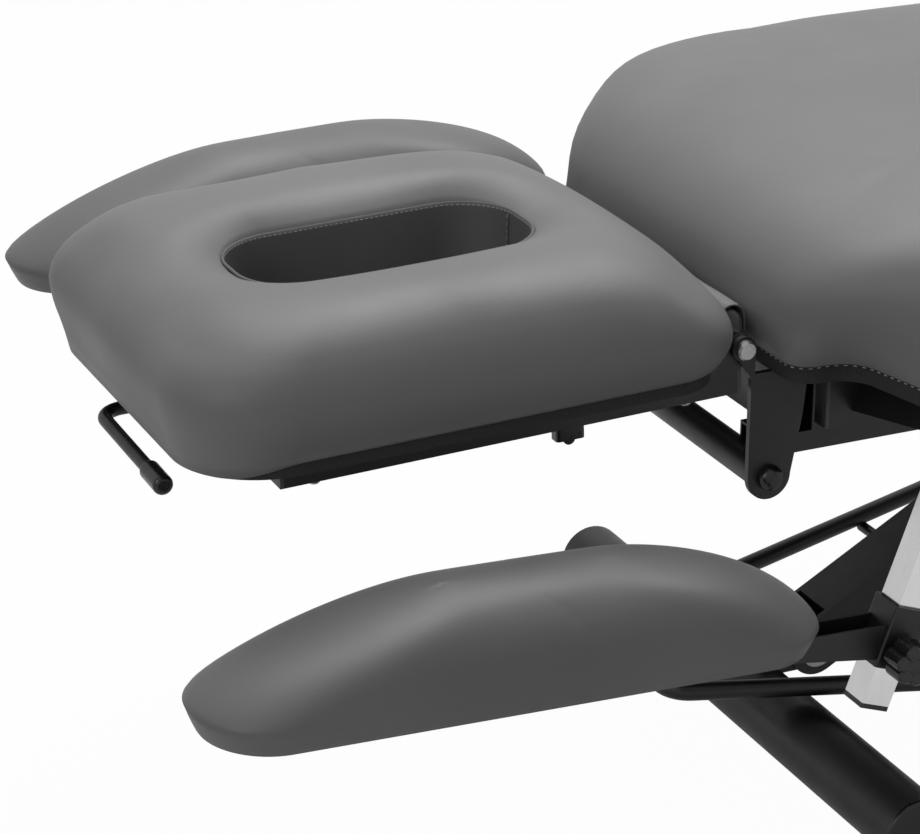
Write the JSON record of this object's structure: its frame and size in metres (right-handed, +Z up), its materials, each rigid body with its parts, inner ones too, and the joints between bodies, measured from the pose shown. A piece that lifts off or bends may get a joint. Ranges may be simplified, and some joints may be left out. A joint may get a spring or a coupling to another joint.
{
  "type": "electric massage table",
  "caption": "Padded massage table on a motor-driven parallel lift, with a tilting head section, face slot, hanging armrests and foot bar.",
  "frame": {"origin": "on the floor under the middle of the table's bounding box", "axes": "+X toward the foot end, +Y toward the far side, +Z up"},
  "size_m": [2.0057, 0.7058, 0.5503],
  "materials": {
    "vinyl": "soft grey vinyl-coated cloth with a fine grain, over foam",
    "slot_lining": "dark lining cloth",
    "black_board": "plywood board under black cloth",
    "black_steel": "satin black powder coat",
    "bright_post": "bright plated tube",
    "zinc": "zinc plated steel",
    "black_plastic": "moulded black plastic",
    "pale_plastic": "pale grey plastic plugs",
    "rubber_foot": "black rubber-faced foot",
    "grey_metal": "dark grey drive housing",
    "polished_rod": "polished rod"
  },
  "bodies": {
    "base": {"floor_tubes": "black_steel", "floor_tube_caps": "black_plastic", "levelling_feet": "rubber_foot", "base_spine": "black_steel", "lower_pivot_pins": "zinc", "actuator_clevis": "black_steel"},
    "head_arm": {"head_lift_arm": "black_steel", "head_torsion_tube": "black_steel"},
    "foot_arm": {"foot_lift_arm": "black_steel", "foot_torsion_tube": "black_steel"},
    "actuator": {"actuator_gearbox": "black_plastic", "actuator_tube": "grey_metal", "actuator_motor": "grey_metal"},
    "actuator_ram": {"actuator_rod": "polished_rod"},
    "foot_bar": {"foot_bar_ring": "black_steel", "foot_bar_rods": "black_steel"},
    "top_frame": {"side_rails": "black_steel", "side_rail_plugs": "pale_plastic", "lower_rails": "black_steel", "front_cross_member": "black_steel", "frame_cross_members": "black_steel", "frame_shafts": "zinc", "hinge_brackets": "black_steel", "cross_tube": "black_steel", "cross_tube_domes": "black_plastic", "hinge_bolts": "zinc", "main_board": "black_board", "main_cushion": "vinyl", "armrest_posts": "bright_post", "armrest_post_caps": "black_plastic", "armrest_post_brackets": "black_steel", "control_box": "black_plastic", "mains_inlet": "black_plastic"},
    "head_section": {"head_rails": "black_steel", "head_rail_plugs": "pale_plastic", "head_cross_members": "black_steel", "head_hinge_ears": "black_steel", "gas_spring_lug": "black_steel", "head_board": "black_board", "head_cushion": "vinyl", "face_slot_liner": "slot_lining", "release_guides": "black_plastic", "rail_latch": "black_plastic", "rail_bolts": "zinc", "hinge_flap": "vinyl"},
    "release_handle": {"release_rod": "black_steel", "release_grip": "black_plastic"},
    "gas_cylinder": {"gas_spring_cylinder": "black_steel"},
    "gas_rod": {"gas_spring_rod": "polished_rod"},
    "near_armrest": {"near_armrest_sleeve": "black_steel", "near_armrest_channel": "black_steel"},
    "near_pad": {"near_pad_board": "black_board", "near_pad_cushion": "vinyl"},
    "near_knob": {"near_star_knob": "black_plastic"},
    "far_armrest": {"far_armrest_sleeve": "black_steel", "far_armrest_channel": "black_steel"},
    "far_pad": {"far_pad_board": "black_board", "far_pad_cushion": "vinyl"},
    "far_knob": {"far_star_knob": "black_plastic"}
  },
  "joints": [
    {"name": "lift", "type": "hinge", "parent": "base", "child": "head_arm", "pos_m": [-0.3365, 0, 0.082], "axis": [0, -1, 0], "range_deg": [-5, 35]},
    {"name": "foot_arm_swing", "type": "hinge", "parent": "base", "child": "foot_arm", "pos_m": [0.0635, 0, 0.082], "axis": [0, -1, 0], "range_deg": [-5.5, 35.5]},
    {"name": "top_level", "type": "hinge", "parent": "head_arm", "child": "top_frame", "pos_m": [0.18827, 0, 0.37289], "axis": [0, -1, 0], "range_deg": [-35.5, 5.5]},
    {"name": "actuator_swing", "type": "hinge", "parent": "base", "child": "actuator", "pos_m": [0.5435, 0, 0.125], "axis": [0, -1, 0], "range_deg": [-6.44, 1.35]},
    {"name": "actuator_stroke", "type": "slide", "parent": "actuator", "child": "actuator_ram", "axis": [-0.9999, 0, 0.014], "range_m": [-0.0071, 0.0439]},
    {"name": "foot_bar_press", "type": "slide", "parent": "base", "child": "foot_bar", "axis": [0, 0, 1], "range_m": [-0.004, 0.004], "stiffness_N_per_m": 15000, "springref_m": 0.0032},
    {"name": "head_tilt", "type": "hinge", "parent": "top_frame", "child": "head_section", "pos_m": [-0.4945, 0, 0.42899], "axis": [0, -1, 0], "range_deg": [-22, 23], "deforming": ["hinge_flap"]},
    {"name": "gas_spring_swing", "type": "hinge", "parent": "top_frame", "child": "gas_cylinder", "pos_m": [-0.4685, 0.09, 0.31799], "axis": [0, -1, 0], "range_deg": [-15.49, 16.17]},
    {"name": "gas_spring_stroke", "type": "slide", "parent": "gas_cylinder", "child": "gas_rod", "axis": [-0.9519, 0, 0.3065], "range_m": [-0.0402, 0.0385]},
    {"name": "release_turn", "type": "hinge", "parent": "head_section", "child": "release_handle", "pos_m": [-0.94273, 0.065, 0.37032], "axis": [0.9994, 0, 0.0349], "range_deg": [0, 20], "stiffness_Nm_per_rad": 3, "springref_deg": -14.32},
    {"name": "near_armrest_height", "type": "slide", "parent": "top_frame", "child": "near_armrest", "axis": [0.342, 0, 0.9397], "range_m": [-0.028, 0.166]},
    {"name": "near_pad_tilt", "type": "hinge", "parent": "near_armrest", "child": "near_pad", "pos_m": [-0.6865, -0.29, 0.2527], "axis": [0, -1, 0], "range_deg": [0, 8]},
    {"name": "near_knob_turn", "type": "hinge", "parent": "near_armrest", "child": "near_knob", "pos_m": [-0.43776, -0.316, 0.22566], "axis": [0, -1, 0], "range_deg": [-180, 180]},
    {"name": "far_armrest_height", "type": "slide", "parent": "top_frame", "child": "far_armrest", "axis": [0.342, 0, 0.9397], "range_m": [-0.178, 0]},
    {"name": "far_pad_tilt", "type": "hinge", "parent": "far_armrest", "child": "far_pad", "pos_m": [-0.62972, 0.29, 0.40869], "axis": [0, -1, 0], "range_deg": [-4.5, 3.5]},
    {"name": "far_knob_turn", "type": "hinge", "parent": "far_armrest", "child": "far_knob", "pos_m": [-0.38099, 0.316, 0.38165], "axis": [0, 1, 0], "range_deg": [-180, 180]}
  ],
  "couplings": [
    {"joint": "foot_arm_swing", "follows": "lift", "ratio": 1},
    {"joint": "top_level", "follows": "lift", "ratio": -1},
    {"joint": "actuator_swing", "follows": "lift", "ratio": -0.16969},
    {"joint": "actuator_stroke", "follows": "lift", "m_per_rad": 0.070185},
    {"joint": "gas_spring_swing", "follows": "head_tilt", "ratio": 0.68136},
    {"joint": "gas_spring_stroke", "follows": "head_tilt", "m_per_rad": -0.097664}
  ]
}
